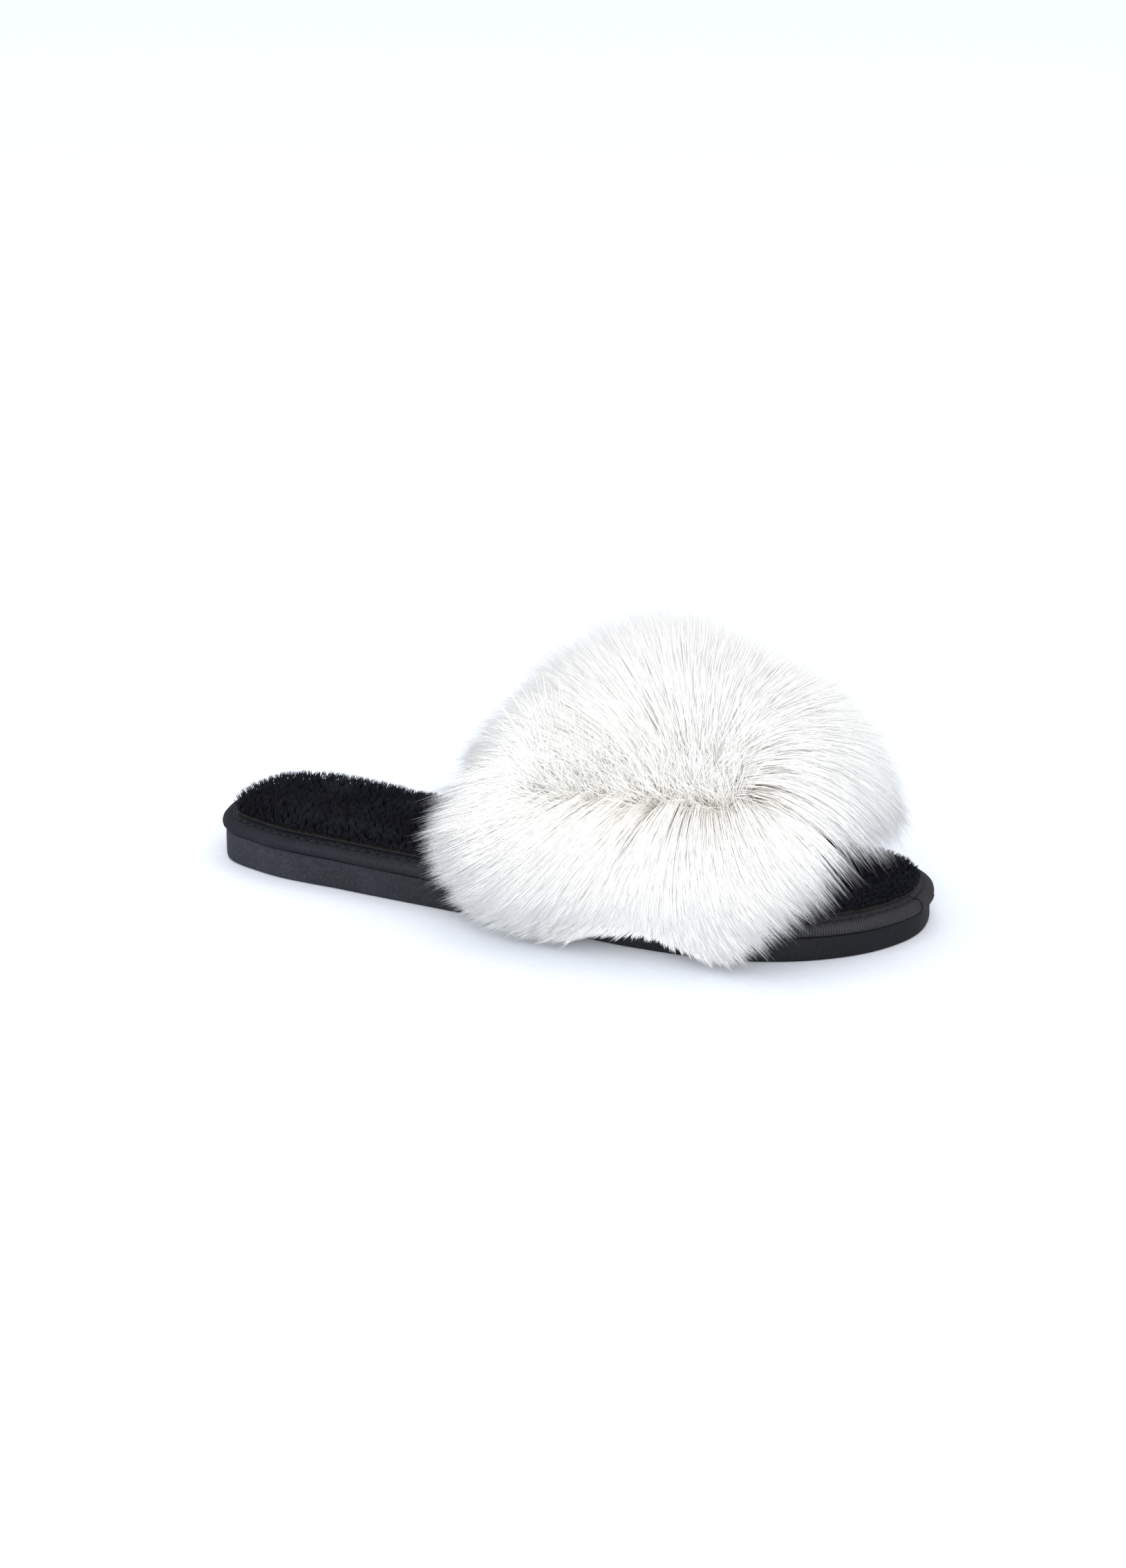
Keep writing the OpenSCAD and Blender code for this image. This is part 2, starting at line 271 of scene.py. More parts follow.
class Mat:
    """A small helper around one node tree."""

    def __init__(self, name, **sockets):
        self.m = bpy.data.materials.new(name)
        self.m.use_nodes = True
        self.t = self.m.node_tree
        self.p = self.t.nodes["Principled BSDF"]
        for k, v in sockets.items():
            self.p.inputs[k.replace("_", " ")].default_value = v

    def node(self, kind, **props):
        n = self.t.nodes.new(kind)
        for k, v in props.items():
            setattr(n, k, v)
        return n

    def link(self, a, b):
        self.t.links.new(a, b)

    def coords(self, scale=(1, 1, 1), output="Object", rot=(0, 0, 0)):
        tc = self.node("ShaderNodeTexCoord")
        mp = self.node("ShaderNodeMapping")
        mp.inputs["Scale"].default_value = scale
        mp.inputs["Rotation"].default_value = rot
        self.link(tc.outputs[output], mp.inputs["Vector"])
        return mp.outputs["Vector"]

    def noise(self, vec, scale, detail=4.0, rough=0.55, distort=0.0):
        n = self.node("ShaderNodeTexNoise")
        n.inputs["Scale"].default_value = scale
        n.inputs["Detail"].default_value = detail
        n.inputs["Roughness"].default_value = rough
        n.inputs["Distortion"].default_value = distort
        self.link(vec, n.inputs["Vector"])
        return n.outputs["Fac"]

    def voronoi(self, vec, scale, feature="F1", out="Distance"):
        n = self.node("ShaderNodeTexVoronoi", feature=feature)
        n.inputs["Scale"].default_value = scale
        self.link(vec, n.inputs["Vector"])
        return n.outputs[out]

    def wave(self, vec, scale, direction="X", distort=0.0, detail=0.0, profile="SIN"):
        n = self.node("ShaderNodeTexWave", bands_direction=direction, wave_profile=profile)
        n.inputs["Scale"].default_value = scale
        n.inputs["Distortion"].default_value = distort
        n.inputs["Detail"].default_value = detail
        self.link(vec, n.inputs["Vector"])
        return n.outputs["Fac"]

    def ramp(self, fac, stops, interp="LINEAR"):
        n = self.node("ShaderNodeValToRGB")
        r = n.color_ramp
        r.interpolation = interp
        while len(r.elements) < len(stops):
            r.elements.new(0.5)
        for e, (pos, col) in zip(r.elements, stops):
            e.position = pos
            e.color = col if len(col) == 4 else (*col, 1)
        self.link(fac, n.inputs["Fac"])
        return n.outputs["Color"]

    def mix(self, fac, a, b, blend="MIX"):
        n = self.node("ShaderNodeMix", data_type="RGBA", blend_type=blend)
        for sock, val in ((n.inputs[0], fac), (n.inputs[6], a), (n.inputs[7], b)):
            if isinstance(val, bpy.types.NodeSocket):
                self.link(val, sock)
            else:
                sock.default_value = val
        return n.outputs[2]

    def math(self, op, a, b=0.0):
        n = self.node("ShaderNodeMath", operation=op)
        for sock, val in ((n.inputs[0], a), (n.inputs[1], b)):
            if isinstance(val, bpy.types.NodeSocket):
                self.link(val, sock)
            else:
                sock.default_value = val
        return n.outputs[0]

    def bump(self, height, strength, distance, normal=None):
        n = self.node("ShaderNodeBump")
        n.inputs["Strength"].default_value = strength
        n.inputs["Distance"].default_value = distance
        self.link(height, n.inputs["Height"])
        if normal is not None:
            self.link(normal, n.inputs["Normal"])
        return n.outputs["Normal"]

    def set(self, name, out):
        self.link(out, self.p.inputs[name])
        return self


def grey(v, a=1.0):
    return (v, v, v, a)


def mat_eva():
    m = Mat("eva_foam", Roughness=0.7, Specular_IOR_Level=0.16)
    o = m.coords()
    mott = m.noise(o, 34, 6, 0.65)
    fine = m.noise(o, 900, 3, 0.6)
    cells = m.voronoi(o, 1500)
    speck = m.noise(o, 2600, 2, 0.5)
    base = m.ramp(mott, [(0.30, srgb(32, 33, 39)), (0.5, srgb(40, 42, 50)), (0.72, srgb(52, 55, 66))])
    base = m.mix(m.ramp(fine, [(0.42, grey(0)), (0.75, grey(0.55))]), base, srgb(66, 68, 76))
    base = m.mix(m.ramp(speck, [(0.70, grey(0)), (0.78, grey(0.8))]), base, srgb(104, 107, 116))
    # painted light and shade: a little lighter near the heel, darker to the toe
    sep = m.node("ShaderNodeSeparateXYZ")
    m.link(o, sep.inputs[0])
    along = m.node("ShaderNodeMapRange")
    along.inputs["From Min"].default_value = -0.13
    along.inputs["From Max"].default_value = 0.11
    m.link(sep.outputs["X"], along.inputs["Value"])
    shade = m.ramp(along.outputs["Result"], [(0.0, grey(0.80)), (0.45, grey(0.46)), (1.0, grey(0.21))])
    m.set("Base Color", m.mix(1.0, base, shade, "MULTIPLY"))
    m.set("Roughness", m.ramp(mott, [(0.3, grey(0.62)), (0.7, grey(0.82))]))
    b1 = m.bump(m.noise(o, 160, 5, 0.6), 0.35, 0.0006)
    b2 = m.bump(cells, 0.25, 0.00025, b1)
    m.set("Normal", m.bump(fine, 0.35, 0.0003, b2))
    return m.m


def mat_tape():
    m = Mat("ribbed_tape", Roughness=0.6, Specular_IOR_Level=0.16)
    o = m.coords()
    patch = m.noise(o, 60, 4, 0.6)
    yarn = m.noise(o, 1400, 2, 0.6)
    base = m.ramp(patch, [(0.3, srgb(14, 16, 22)), (0.7, srgb(26, 29, 38))])
    # painted highlight: fine yarn flecks are lightened towards a bluish grey
    col = m.mix(m.ramp(yarn, [(0.45, grey(0)), (0.8, grey(0.6))]), base, srgb(46, 50, 64))
    # the furrows between ribs hold less light; eight rows of eighty ribs each cross the map
    uv = m.node("ShaderNodeUVMap", uv_map="OFBake")
    sep = m.node("ShaderNodeSeparateXYZ")
    m.link(uv.outputs[0], sep.inputs[0])
    xyz = m.node("ShaderNodeSeparateXYZ")
    m.link(o, xyz.inputs[0])
    # painted highlight: towards the toe the tape grows lighter and greyer, its yarn flecks lighter still
    along = m.node("ShaderNodeMapRange")
    along.inputs["From Min"].default_value = -0.10
    along.inputs["From Max"].default_value = 0.09
    m.link(xyz.outputs["X"], along.inputs["Value"])
    toe = m.mix(m.ramp(yarn, [(0.45, grey(0)), (0.8, grey(0.6))]), m.ramp(patch, [(0.3, srgb(36, 36, 38)), (0.7, srgb(46, 46, 49))]), srgb(70, 70, 73))
    col = m.mix(along.outputs["Result"], col, toe)
    turn = m.math("MULTIPLY", sep.outputs["X"], 80.0)
    furrow = m.math("ABSOLUTE", m.math("SUBTRACT", m.math("FRACT", turn, 0.0), 0.5), 0.0)
    m.set("Base Color", m.mix(1.0, col, m.ramp(furrow, [(0.22, grey(1.0)), (0.46, grey(0.35))]), "MULTIPLY"))
    m.set("Roughness", m.ramp(yarn, [(0.3, grey(0.48)), (0.7, grey(0.75))]))
    m.set("Normal", m.bump(yarn, 0.4, 0.00015))
    return m.m


def mat_thread(name, lo, hi, twist=2200):
    m = Mat(name, Roughness=0.6)
    o = m.coords(rot=(0, 0, 0.7))
    w = m.wave(o, twist, "DIAGONAL", 1.5, 1.0)
    m.set("Base Color", m.ramp(w, [(0.1, lo), (0.9, hi)]))
    m.set("Normal", m.bump(w, 0.6, 0.0001))
    return m.m


def mat_board():
    m = Mat("fibre_board", Roughness=0.85)
    o = m.coords()
    f1 = m.noise(o, 380, 6, 0.7, 1.5)
    f2 = m.noise(m.coords((1, 6, 1)), 220, 5, 0.6)
    base = m.ramp(f1, [(0.25, srgb(134, 108, 76)), (0.5, srgb(164, 136, 98)), (0.8, srgb(188, 162, 122))])
    m.set("Base Color", m.mix(m.ramp(f2, [(0.6, grey(0)), (0.8, grey(0.7))]), base, srgb(104, 82, 56)))
    m.set("Normal", m.bump(f1, 0.4, 0.0004))
    m.set("Roughness", m.ramp(f2, [(0.3, grey(0.78)), (0.8, grey(0.95))]))
    return m.m


def mat_foam(name, tint):
    m = Mat(name, Roughness=0.95)
    o = m.coords()
    cells = m.voronoi(o, 1100)
    big = m.noise(o, 90, 4, 0.6)
    a = tuple(c * 0.82 for c in tint[:3]) + (1,)
    # painted shade: the pits of the foam cells are darker
    m.set("Base Color", m.mix(m.ramp(cells, [(0.15, grey(0.7)), (0.5, grey(0))]),
                              m.ramp(big, [(0.3, a), (0.7, tint)]), tuple(c * 0.6 for c in tint[:3]) + (1,)))
    m.set("Normal", m.bump(cells, 0.7, 0.0005))
    m.set("Roughness", m.ramp(cells, [(0.2, grey(1.0)), (0.6, grey(0.85))]))
    return m.m


def mat_knit(name, lo, hi, pitch):
    """A fine knitted cloth: rows of small loops with a little shade between them."""
    m = Mat(name, Roughness=0.8, Sheen_Weight=0.25, Sheen_Roughness=0.5)
    o = m.coords()
    k = math.pi / (10 * pitch)
    wx = m.wave(o, k, "X", 0.6, 1.0)
    wy = m.wave(m.coords((1, 1, 1.0)), k * 0.75, "Y", 0.9, 1.0)
    wz = m.wave(m.coords((1, 1, 1.0)), k * 0.75, "Z", 0.9, 1.0)
    loops = m.math("MULTIPLY", wx, m.math("MAXIMUM", wy, wz))
    soil = m.noise(o, 45, 4, 0.6)
    base = m.mix(m.ramp(soil, [(0.35, grey(0)), (0.75, grey(0.6))]), hi, lo)
    shade = m.ramp(loops, [(0.0, grey(0.74)), (0.6, grey(1.0))])
    m.set("Base Color", m.mix(1.0, base, shade, "MULTIPLY"))
    m.set("Roughness", m.ramp(loops, [(0.0, grey(0.95)), (0.8, grey(0.7))]))
    m.set("Normal", m.bump(loops, 0.5, 0.0003))
    return m.m


def mat_strand(name, warm, cool, streak, rough, sheen=0.0, spec=0.5):
    """Fibres: colour runs from root to tip (V) and changes from lock to lock (U)."""
    m = Mat(name, Roughness=rough, Sheen_Weight=sheen, Sheen_Roughness=0.4, Specular_IOR_Level=spec)
    uv = m.node("ShaderNodeUVMap", uv_map="OFBake")
    sep = m.node("ShaderNodeSeparateXYZ")
    m.link(uv.outputs[0], sep.inputs[0])
    a = m.ramp(sep.outputs["Y"], warm)
    b = m.ramp(sep.outputs["Y"], cool)
    col = m.mix(sep.outputs["X"], a, b)
    mp = m.node("ShaderNodeMapping")
    mp.inputs["Scale"].default_value = (160, 3, 1)
    m.link(uv.outputs[0], mp.inputs["Vector"])
    n = m.noise(mp.outputs[0], 1.0, 3, 0.6)
    m.set("Base Color", m.mix(1.0, col, m.ramp(n, [(0.25, streak), (0.6, grey(1.0))]), "MULTIPLY"))
    return m.m


M_EVA, M_TAPE = mat_eva(), mat_tape()
M_BOARD = mat_board()
M_CUSHION = mat_foam("cushion_foam_mat", srgb(236, 226, 176))
M_STRAPFOAM = mat_foam("strap_foam_mat", srgb(242, 236, 206))
M_LINING = mat_knit("lining_knit", srgb(214, 208, 196), srgb(236, 232, 224), 0.0011)
M_BACKING = mat_knit("fur_backing_knit", srgb(226, 220, 206), srgb(242, 238, 230), 0.0014)
M_BLACK_THREAD = mat_thread("black_thread_mat", srgb(12, 12, 14), srgb(44, 45, 50))
M_LIGHT_THREAD = mat_thread("light_thread_mat", srgb(206, 200, 188), srgb(244, 241, 234))
M_PLUSH_BASE = Mat("plush_ground", Roughness=0.95)
_o = M_PLUSH_BASE.coords()
_n = M_PLUSH_BASE.noise(_o, 420, 4, 0.6)
M_PLUSH_BASE.set("Base Color", M_PLUSH_BASE.ramp(_n, [(0.3, srgb(3, 3, 4)), (0.7, srgb(10, 10, 12))]))
M_PLUSH_BASE.set("Normal", M_PLUSH_BASE.bump(_n, 0.6, 0.0008))
M_PLUSH_BASE = M_PLUSH_BASE.m
# painted highlight: the pile grows lighter and bluer from its black roots to the tips, more so in locks of the second
# ramp
M_PLUSH = mat_strand("black_plush_pile",
                     [(0.0, srgb(1, 1, 2)), (0.5, srgb(5, 6, 11)), (1.0, srgb(16, 18, 28))],
                     [(0.0, srgb(2, 2, 3)), (0.5, srgb(11, 12, 19)), (1.0, srgb(44, 47, 63))],
                     grey(0.6), 0.6, sheen=0.02, spec=0.12)
# darker, warmer roots: partly the fibres' own cream undercoat, partly painted shade deep in the pile
M_FUR = mat_strand("white_fur_pile",
                   [(0.0, srgb(226, 214, 188)), (0.16, srgb(240, 232, 214)), (0.42, srgb(253, 251, 246)), (1.0, srgb(255, 255, 254))],
                   [(0.0, srgb(238, 232, 220)), (0.16, srgb(247, 244, 238)), (0.42, srgb(254, 253, 252)), (1.0, srgb(254, 255, 255))],
                   grey(0.96), 0.5, sheen=0.0, spec=0.35)


def add(ob, *nodes, slot=None):
    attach(ob, "root")
    if nodes:
        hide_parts(*nodes)
    return ob


# -------------------------------------------------------------------- outsole
def make_outsole():
    rows = [(3.0, 0.0, 0), (2.45, 0.06, 0), (2.0, 0.25, 0), (1.65, 0.6, 0), (1.42, 1.1, 0),
            (1.28, 1.8, 0), (1.2, 2.7, 0), (1.2, -4.4, 1), (1.2, -0.5, 1), (1.3, -0.2, 1), (1.55, 0.0, 1)]
    ob = ring_solid("outsole_body", rows, [M_EVA], n=600)
    V, F = [], []

    def prism(lo, hi):
        """Adds a closed prism from two matching loops of points."""
        b = sum(len(v) for v in V)
        n = len(lo)
        V.append(np.array(lo, float))
        V.append(np.array(hi, float))
        F.append([b + i for i in range(n)][::-1])
        F.append([b + n + i for i in range(n)])
        for i in range(n):
            j = (i + 1) % n
            F.append([b + i, b + j, b + n + j, b + n + i])

    # room for the strap's margins: a band along each side, open to the outside
    for edge_fn, d, far in ((y_out, 15.0, -62.0), (y_in, -15.0, 62.0)):
        xs = np.linspace(-13, 85, 25)
        near = np.c_[xs, edge_fn(xs) + d]
        loop = np.vstack([near, [[85, far], [-13, far]]])
        if far > 0:
            loop = loop[::-1]
        low = np.c_[loop, top_z(loop[:, 0]) - 2.05]
        high = np.c_[loop, top_z(loop[:, 0]) + 4]
        prism(low, high)
    # tread grooves with slanted walls, under the heel and the ball
    p, nn, _, _ = ring(600)
    lim = p + 9 * nn
    for x0, count in ((-116, 9), (22, 12)):
        for k in range(count):
            x = x0 + 8 * k
            ys = []
            for xx in (x, x + 2.4):
                near = np.abs(lim[:, 0] - xx)
                sel = lim[near < 2.2]
                if len(sel) == 0:
                    sel = lim[np.argsort(near)[:4]]
                ys.append((sel[:, 1].min() + 0.3, sel[:, 1].max() - 0.3))
            if min(h - l for l, h in ys) < 6:
                continue
            (l0, h0), (l1, h1) = ys
            low = [[x, l0, -1], [x + 2.4, l1, -1], [x + 2.4, h1, -1], [x, h0, -1]]
            high = [[x + 0.35, l0 + 0.4, 1.2], [x + 2.05, l1 + 0.4, 1.2], [x + 2.05, h1 - 0.4, 1.2], [x + 0.35, h0 - 0.4, 1.2]]
            prism(low, high)
    me = bpy.data.meshes.new("cutters")
    me.from_pydata([tuple(q * 0.001) for v in V for q in v], [], F)
    cut = bpy.data.objects.new("cutters", me)
    bpy.context.scene.collection.objects.link(cut)
    boolean(ob, cut)
    ob.data.polygons.foreach_set("use_smooth", np.ones(len(ob.data.polygons), bool))
    sharpen(ob, 32)
    return add(ob, "outsole", slot="outsole_foam")


# -------------------------------------------------------------- bound edge
TAPE = [(8.0, 0.2), (5.0, 0.2), (2.2, 0.2), (0.9, 0.6), (0.2, 1.5), (0.0, 2.5), (0.3, 3.6),
        (1.1, 4.55), (2.2, 4.95), (3.2, 4.75), (3.9, 4.42), (4.8, 4.85), (6.0, 5.75), (6.6, 5.5),
        (6.1, 5.0), (5.2, 4.3), (4.0, 3.9), (2.4, 4.15), (1.5, 3.5), (0.95, 2.5), (1.4, 1.5),
        (2.4, 0.95), (5.0, 0.95), (8.0, 0.95)]


def tape_piece(name, n_rib, per, s0=None, s1=None, lift=0.0, amp=0.2, rows=8, skew=0.0):
    """The ribbed tape, or the stretch of it from length s0 to s1, lifted off the layer below."""
    prof = np.array(TAPE)
    m = len(prof)
    # outward normal of the section, and how much each point shows ribs
    tan = np.roll(prof, -1, 0) - np.roll(prof, 1, 0)
    tan[0], tan[-1] = prof[1] - prof[0], prof[-1] - prof[-2]
    pn = unit(np.c_[-tan[:, 1], tan[:, 0]])
    w = np.interp(np.arange(m), [0, 1.5, 3, 9, 10, 11, 12.5, 14.5, m - 1], [0, 0.2, 1, 1, 0.55, 0.8, 0.8, 0, 0])
    _, _, total, _ = ring(4)
    whole = s0 is None
    n = n_rib * per
    if whole:
        s = np.arange(n) / n * total
    else:
        s = np.linspace(s0, s1, n)
    S = s[:, None] + skew * (np.arange(m)[None, :] / m - 0.3)
    closed = np.vstack([EDGE, EDGE[:1]])
    acc = np.r_[0, np.cumsum(np.linalg.norm(np.diff(closed, axis=0), axis=1))]

    def at(q):
        q = q % total
        return np.stack([np.interp(q, acc, closed[:, 0]), np.interp(q, acc, closed[:, 1])], -1)
    P = at(S)
    T = unit(at(S + 1.2) - at(S - 1.2))
    N = np.stack([-T[..., 1], T[..., 0]], -1)
    pitch = total / n_rib if whole else total / 640
    phase = S / pitch + 0.05 * noise3(np.stack([S, S * 0, S * 0], -1), 9.0, 3)
    fr = phase % 1.0
    rib = np.sqrt(np.clip(1 - (2 * fr - 1) ** 2, 0, 1)) * 2 - 1.1
    wob = 0.10 * noise3(np.stack([S, np.broadcast_to(np.arange(m) * 2.0, S.shape), S * 0], -1), 14.0, 5) \
        + 0.05 * noise3(np.stack([S, np.broadcast_to(np.arange(m) * 1.0, S.shape), S * 0], -1), 4.0, 6)
    d = prof[None, :, 0] + pn[None, :, 0] * (amp * rib * w[None] + lift + wob * w[None])
    z = prof[None, :, 1] + pn[None, :, 1] * (amp * rib * w[None] + lift * 0.9 + wob * w[None])
    d = np.maximum(d, -0.3 - lift)
    V = on_sole(np.dstack([P + d[..., None] * N, z]))
    F = grid_faces(n, m, close_u=whole, close_v=True, flip=True)
    # uv: the tape runs in rows across the map
    i = np.arange(n if whole else n - 1)
    I, J = np.meshgrid(i, np.arange(m), indexing="ij")
    r = np.floor(I * rows / n)
    u0, u1 = I * rows / n - r, (I + 1) * rows / n - r
    v0, v1 = (r + 0.04 + 0.92 * J / m) / rows, (r + 0.04 + 0.92 * (J + 1) / m) / rows
    quad = np.stack([np.stack([u0, v0], -1), np.stack([u1, v0], -1), np.stack([u1, v1], -1), np.stack([u0, v1], -1)], -2)
    quad = quad.reshape(-1, 4, 2)[:, ::-1]
    faces = [F]
    uv = [quad.reshape(-1, 2)]
    if not whole:
        faces.append(np.arange(m)[None])
        faces.append((np.arange(m)[::-1] + (n - 1) * m)[None])
        uv.append(np.full((2 * m, 2), 0.01))
    return build(name, V.reshape(-1, 3), faces, [M_TAPE], uv=np.concatenate(uv))


def capsules(name, centres, dirs, ups, length, rad, mats, bow=0.0, sides=8):
    """Short stitches: rounded threads that dip at both ends."""
    t = np.array([-1.0, -0.94, -0.8, -0.45, 0.0, 0.45, 0.8, 0.94, 1.0])
    r = np.array([0.05, 0.6, 0.9, 1.0, 1.0, 1.0, 0.9, 0.6, 0.05])
    k = len(t)
    side = np.cross(dirs, ups)
    ang = np.arange(sides) / sides * 2 * math.pi
    c = (centres[:, None, :] + dirs[:, None, :] * (t * length / 2)[None, :, None]
         + ups[:, None, :] * (-bow * t**2)[None, :, None])
    tw = 1 + 0.10 * np.sin(3 * ang[None, :] + 9 * t[:, None])
    off = (side[:, None, None, :] * np.cos(ang)[None, None, :, None]
           + ups[:, None, None, :] * np.sin(ang)[None, None, :, None])
    V = c[:, :, None, :] + off * (rad * r[:, None] * tw)[None, :, :, None]
    F = []
    cap = []
    for i in range(len(centres)):
        b = i * k * sides
        F.append(grid_faces(k, sides, close_v=True, base=b))
        cap.append(b + np.arange(sides)[::-1])
        cap.append(b + (k - 1) * sides + np.arange(sides))
    return build(name, V.reshape(-1, 3), [np.concatenate(F), np.array(cap)], mats)


def make_binding():
    tape = tape_piece("edge_tape", 640, 6)
    add(tape, "edge_binding", slot="ribbed_tape")
    _, _, total, s = ring(4000)
    p, _, _, _ = ring(4000)
    # the tape's end laps over its start on the outer side of the toe
    k = np.argmin(np.hypot(p[:, 0] - 130.8, p[:, 1] - 13.9))
    lap = tape_piece("edge_tape_lap", 14, 6, s[k] - 7, s[k] + 6.5, lift=0.42, skew=2.4, rows=1)
    add(lap, slot="ribbed_tape")
    n = 148
    q, nn, _, _ = ring(n, 2.0)
    c = on_sole(np.c_[q + 3.9 * nn, np.full(n, 4.78)])
    t = on_sole(np.c_[np.roll(q, -1, 0) + 3.9 * np.roll(nn, -1, 0), np.full(n, 4.78)]) - on_sole(
        np.c_[np.roll(q, 1, 0) + 3.9 * np.roll(nn, 1, 0), np.full(n, 4.78)])
    t = unit(t)
    up = np.tile([[math.sin(SLOPE), 0, math.cos(SLOPE)]], (n, 1))
    st = capsules("binding_stitch_row", c, t, up, 2.7, 0.24, [M_BLACK_THREAD], bow=0.30)
    add(st, "binding_stitches", slot="black_thread")


# ------------------------------------------------------------- insole layers
def mid_line(x):
    x = np.clip(x, -98, 98)
    return (y_out(x) + y_in(x)) / 2


def pad(name, mats, edge_rows, rings, crown, n=360, bump=0.0, seed=1):
    """A closed pad: rounded edge rings, then rings that shrink to the mid line, on a crowned top."""
    p, nn, _, _ = ring(n)
    V = []
    for d, z in edge_rows:
        V.append(on_sole(np.c_[p + d * nn, np.full(n, z)]))
    d, z = edge_rows[-1]
    rim = p + d * nn
    c = np.c_[np.clip(rim[:, 0], -98, 98), mid_line(rim[:, 0])]
    for f in rings:
        q = c + (rim - c) * f
        zz = np.full(n, z + crown * (1 - f**3))
        if bump:
            pts = np.c_[q, np.zeros(n)]
            zz = zz + bump * noise3(pts, 5.0, seed) * (1 - f**8) + 0.5 * bump * noise3(pts, 2.4, seed + 1) * (1 - f**8)
        V.append(on_sole(np.c_[q, zz]))
    m = len(V)
    V = np.array(V)
    F = [grid_faces(m, n, close_v=True, flip=True)]
    F += [np.arange(n)[::-1][None], (np.arange(n) + (m - 1) * n)[None]]
    ob = build(name, V.reshape(-1, 3), F, mats, sharp=50)
    return ob


def strands(prefix, pts, rad, tone, mats, seed, per_piece, sides=3, v_top=None):
    """Closed fibres through pts (n, k, 3) with radii rad (k,) or (n, k), split into several pieces."""
    n, k, _ = pts.shape
    rng = np.random.default_rng(seed)
    T = np.empty_like(pts)
    T[:, 1:-1] = pts[:, 2:] - pts[:, :-2]
    T[:, 0] = pts[:, 1] - pts[:, 0]
    T[:, -1] = pts[:, -1] - pts[:, -2]
    T = unit(T)
    ref = unit(np.cross(T[:, 0], rng.normal(size=(n, 3))))
    ref = np.broadcast_to(ref[:, None], pts.shape)
    A = unit(ref - T * (ref * T).sum(-1, keepdims=True))
    B = np.cross(T, A)
    rad = np.broadcast_to(rad, (n, k))
    ang = np.arange(sides) / sides * 2 * math.pi
    body = (pts[:, :-1, None] + rad[:, :-1, None, None] * (A[:, :-1, None] * np.cos(ang)[None, None, :, None]
            + B[:, :-1, None] * np.sin(ang)[None, None, :, None]))
    V = np.concatenate([body.reshape(n, -1, 3), pts[:, -1:]], 1)
    nv = (k - 1) * sides + 1
    quads, tris = [], []
    uq, ut = [], []
    v = np.linspace(0, 1, k) if v_top is None else v_top
    for i in range(k - 2):
        for j in range(sides):
            a, b = i * sides + j, i * sides + (j + 1) % sides
            quads.append([a, b, b + sides, a + sides])
            uq.append([v[i], v[i], v[i + 1], v[i + 1]])
    for j in range(sides):
        a, b = (k - 2) * sides + j, (k - 2) * sides + (j + 1) % sides
        tris.append([a, b, nv - 1])
        ut.append([v[k - 2], v[k - 2], v[k - 1]])
    if sides == 3:
        tris.append([2, 1, 0])
        ut.append([0, 0, 0])
    quads, tris, uq, ut = map(np.array, (quads, tris, uq, ut))
    out = []
    for piece, s in enumerate(range(0, n, per_piece)):
        e = min(n, s + per_piece)
        m = e - s
        base = (np.arange(m) * nv)[:, None, None]
        q = (quads[None] + base).reshape(-1, 4)
        t = (tris[None] + base).reshape(-1, 3)
        tn = tone[s:e]
        uvq = np.stack([np.broadcast_to(tn[:, None, None], (m,) + uq.shape), np.broadcast_to(uq[None], (m,) + uq.shape)], -1)
        uvt = np.stack([np.broadcast_to(tn[:, None, None], (m,) + ut.shape), np.broadcast_to(ut[None], (m,) + ut.shape)], -1)
        # each strand's faces get a thin column of the map, so no face is a line in it
        wq = np.where(np.arange(4) % 3 == 0, -0.002, 0.002)
        uvq = uvq.copy()
        uvq[..., 0] += wq
        uvt = uvt.copy()
        uvt[..., 0] += np.array([-0.002, 0.002, 0.0])
        uv = np.concatenate([uvq.reshape(-1, 2), uvt.reshape(-1, 2)])
        out.append(build(f"{prefix}_{piece + 1}", V[s:e].reshape(-1, 3), [q, t], mats, uv=np.clip(uv, 0, 1)))
    return out


def r2(n, seed=0.5):
    g = 1.32471795724474602596
    i = np.arange(n)
    return (seed + i / g) % 1.0, (seed + i / g**2) % 1.0


def bezier(p0, p1, p2, t):
    t = t[None, :, None]
    return (1 - t) ** 2 * p0[:, None] + 2 * t * (1 - t) * p1[:, None] + t * t * p2[:, None]


def near_guides(points, guides):
    tree = KDTree(len(guides))
    for i, g in enumerate(guides):
        tree.insert(g, i)
    tree.balance()
    return np.array([tree.find(q)[1] for q in points])


